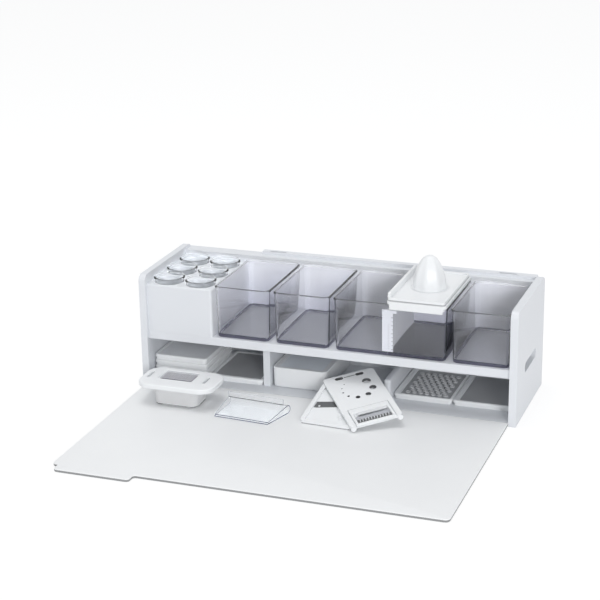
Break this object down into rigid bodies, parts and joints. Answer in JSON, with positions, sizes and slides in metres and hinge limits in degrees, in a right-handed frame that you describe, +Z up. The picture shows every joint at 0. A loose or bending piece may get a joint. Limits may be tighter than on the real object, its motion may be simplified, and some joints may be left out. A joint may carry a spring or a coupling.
{
  "type": "kitchen preparation station with folding board",
  "caption": "Counter-top prep station: clear food bins and cups over a deck of insert trays, closed by a cutting board that hinges at the front and folds over as the lid.",
  "frame": {"origin": "centre of the housing's flat underside", "axes": "+X to the right along the housing, +Y to the back, +Z up; the board lies open towards -Y"},
  "size_m": [0.64, 0.5648, 0.2417],
  "materials": {
    "housing_white": "smooth white moulded plastic, satin",
    "board_white": "white board plastic with a fine even texture, satin",
    "tool_white": "white moulded plastic, soft gloss",
    "smoke_clear": "clear plastic with a light smoke tint, glossy",
    "cup_clear": "clear plastic, glossy",
    "insert_grey": "grey moulded plastic, satin",
    "blade_steel": "thin stainless sheet",
    "screw_steel": "plain stainless",
    "foot_rubber": "soft matt rubber"
  },
  "bodies": {
    "housing": {"left_end_panel": "housing_white", "right_end_panel": "housing_white", "floor_panel": "housing_white", "rear_wall": "housing_white", "shelf": "housing_white", "divider_left": "housing_white", "divider_right": "housing_white", "cup_block": "housing_white", "feet": "foot_rubber", "housing_screws": "screw_steel", "hinge_pins": "screw_steel"},
    "board_front": {"board_front": "board_white"},
    "fold_slat_1": {"fold_slat_1": "board_white"},
    "fold_slat_2": {"fold_slat_2": "board_white"},
    "board_top": {"board_top": "board_white"},
    "bin_1": {"bin_1": "smoke_clear"},
    "bin_2": {"bin_2": "smoke_clear"},
    "wide_bin": {"wide_bin": "smoke_clear"},
    "bin_4": {"bin_4": "smoke_clear"},
    "bin_divider": {"bin_divider": "tool_white"},
    "juicer_tray": {"juicer_base_tray": "tool_white", "juicer_top_tray": "tool_white"},
    "juicer_cone": {"juicer_cone": "tool_white"},
    "deep_box": {"deep_box": "tool_white"},
    "deep_box_lid": {"deep_box_lid": "insert_grey"},
    "grater": {"grater_cup": "cup_clear"},
    "grater_top": {"grater_frame": "tool_white", "grater_plate": "blade_steel"},
    "clear_stand": {"clear_stand": "cup_clear"},
    "slicer": {"slicer_base": "tool_white", "slicer_base_blade": "blade_steel", "slicer_foot": "tool_white"},
    "slicer_top": {"slicer_top": "tool_white", "blade_holder": "tool_white", "toothed_blade": "blade_steel", "straight_blade": "blade_steel"},
    "cup_1": {"cup_1": "cup_clear"},
    "cup_2": {"cup_2": "cup_clear"},
    "cup_3": {"cup_3": "cup_clear"},
    "cup_4": {"cup_4": "cup_clear"},
    "cup_5": {"cup_5": "cup_clear"},
    "cup_6": {"cup_6": "cup_clear"},
    "stack_1": {"stack_1_frame": "tool_white", "stack_1_plate": "insert_grey"},
    "stack_2": {"stack_2_frame": "tool_white", "stack_2_plate": "insert_grey"},
    "stack_3": {"stack_3_frame": "tool_white", "stack_3_plate": "insert_grey"},
    "stack_4": {"stack_4_frame": "tool_white", "stack_4_plate": "insert_grey"},
    "low": {"low_frame": "tool_white", "low_plate": "insert_grey"},
    "coarse": {"coarse_frame": "tool_white", "coarse_plate": "insert_grey"},
    "plain": {"plain_frame": "tool_white", "plain_plate": "insert_grey"}
  },
  "joints": [
    {"name": "board_hinge", "type": "hinge", "parent": "housing", "child": "board_front", "pos_m": [0, -0.095, 0.0025], "axis": [-1, 0, 0], "range_deg": [0, 90]},
    {"name": "fold_1", "type": "hinge", "parent": "board_front", "child": "fold_slat_1", "pos_m": [0, -0.27067, 0.005], "axis": [-1, 0, 0], "range_deg": [0, 30]},
    {"name": "fold_2", "type": "hinge", "parent": "fold_slat_1", "child": "fold_slat_2", "pos_m": [0, -0.27567, 0.005], "axis": [-1, 0, 0], "range_deg": [0, 30]},
    {"name": "fold_3", "type": "hinge", "parent": "fold_slat_2", "child": "board_top", "pos_m": [0, -0.28067, 0.005], "axis": [-1, 0, 0], "range_deg": [0, 30]},
    {"name": "bin_1_lift", "type": "slide", "parent": "housing", "child": "bin_1", "axis": [0, 0, -1], "range_m": [-0.14, 0]},
    {"name": "bin_2_lift", "type": "slide", "parent": "housing", "child": "bin_2", "axis": [0, 0, -1], "range_m": [-0.14, 0]},
    {"name": "wide_bin_lift", "type": "slide", "parent": "housing", "child": "wide_bin", "axis": [0, 0, -1], "range_m": [-0.14, 0]},
    {"name": "bin_4_lift", "type": "slide", "parent": "housing", "child": "bin_4", "axis": [0, 0, -1], "range_m": [-0.14, 0]},
    {"name": "bin_divider_slide", "type": "slide", "parent": "wide_bin", "child": "bin_divider", "axis": [1, 0, 0], "range_m": [-0.07, 0]},
    {"name": "juicer_tray_lift", "type": "slide", "parent": "wide_bin", "child": "juicer_tray", "axis": [0, 0, 1], "range_m": [0, 0.021]},
    {"name": "juicer_cone_lift", "type": "slide", "parent": "juicer_tray", "child": "juicer_cone", "axis": [0, 0, -1], "range_m": [-0.06, 0]},
    {"name": "cup_1_lift", "type": "slide", "parent": "housing", "child": "cup_1", "axis": [0, 0, -1], "range_m": [-0.09, 0]},
    {"name": "cup_2_lift", "type": "slide", "parent": "housing", "child": "cup_2", "axis": [0, 0, -1], "range_m": [-0.09, 0]},
    {"name": "cup_3_lift", "type": "slide", "parent": "housing", "child": "cup_3", "axis": [0, 0, -1], "range_m": [-0.09, 0]},
    {"name": "cup_4_lift", "type": "slide", "parent": "housing", "child": "cup_4", "axis": [0, 0, -1], "range_m": [-0.09, 0]},
    {"name": "cup_5_lift", "type": "slide", "parent": "housing", "child": "cup_5", "axis": [0, 0, -1], "range_m": [-0.09, 0]},
    {"name": "cup_6_lift", "type": "slide", "parent": "housing", "child": "cup_6", "axis": [0, 0, -1], "range_m": [-0.09, 0]},
    {"name": "stack_1_slide", "type": "slide", "parent": "housing", "child": "stack_1", "axis": [0, 1, 0], "range_m": [-0.044, 0]},
    {"name": "stack_2_slide", "type": "slide", "parent": "housing", "child": "stack_2", "axis": [0, 1, 0], "range_m": [-0.044, 0]},
    {"name": "stack_3_slide", "type": "slide", "parent": "housing", "child": "stack_3", "axis": [0, 1, 0], "range_m": [-0.027, 0]},
    {"name": "stack_4_slide", "type": "slide", "parent": "housing", "child": "stack_4", "axis": [0, 1, 0], "range_m": [-0.027, 0]},
    {"name": "low_slide", "type": "slide", "parent": "housing", "child": "low", "axis": [0, 1, 0], "range_m": [-0.053, 0]},
    {"name": "coarse_slide", "type": "slide", "parent": "housing", "child": "coarse", "axis": [0, 1, 0], "range_m": [-0.1, 0]},
    {"name": "plain_slide", "type": "slide", "parent": "housing", "child": "plain", "axis": [0, 1, 0], "range_m": [-0.11, 0]},
    {"name": "deep_box_slide", "type": "slide", "parent": "housing", "child": "deep_box", "axis": [0, 1, 0], "range_m": [-0.08, 0]},
    {"name": "deep_box_lid_lift", "type": "slide", "parent": "deep_box", "child": "deep_box_lid", "axis": [0, 0, -1], "range_m": [-0.03, 0]},
    {"name": "grater_slide", "type": "slide", "parent": "board_front", "child": "grater", "axis": [0, -1, 0], "range_m": [0, 0.191]},
    {"name": "clear_stand_slide", "type": "slide", "parent": "board_front", "child": "clear_stand", "axis": [0, -1, 0], "range_m": [0, 0.146]},
    {"name": "slicer_slide", "type": "slide", "parent": "board_front", "child": "slicer", "axis": [0, -1, 0], "range_m": [0, 0.266]},
    {"name": "grater_top_lift", "type": "slide", "parent": "grater", "child": "grater_top", "axis": [0, 0, -1], "range_m": [-0.06, 0]},
    {"name": "slicer_top_lift", "type": "slide", "parent": "slicer", "child": "slicer_top", "axis": [0.0116, 0.2212, -0.9751], "range_m": [-0.02, 0]}
  ],
  "couplings": [
    {"joint": "fold_2", "follows": "fold_1", "ratio": 1},
    {"joint": "fold_3", "follows": "fold_1", "ratio": 1},
    {"joint": "juicer_tray_lift", "follows": "board_hinge", "m_per_rad": 0.012732},
    {"joint": "grater_slide", "follows": "board_hinge", "m_per_rad": 0.12096},
    {"joint": "clear_stand_slide", "follows": "board_hinge", "m_per_rad": 0.09231},
    {"joint": "slicer_slide", "follows": "board_hinge", "m_per_rad": 0.1687}
  ]
}
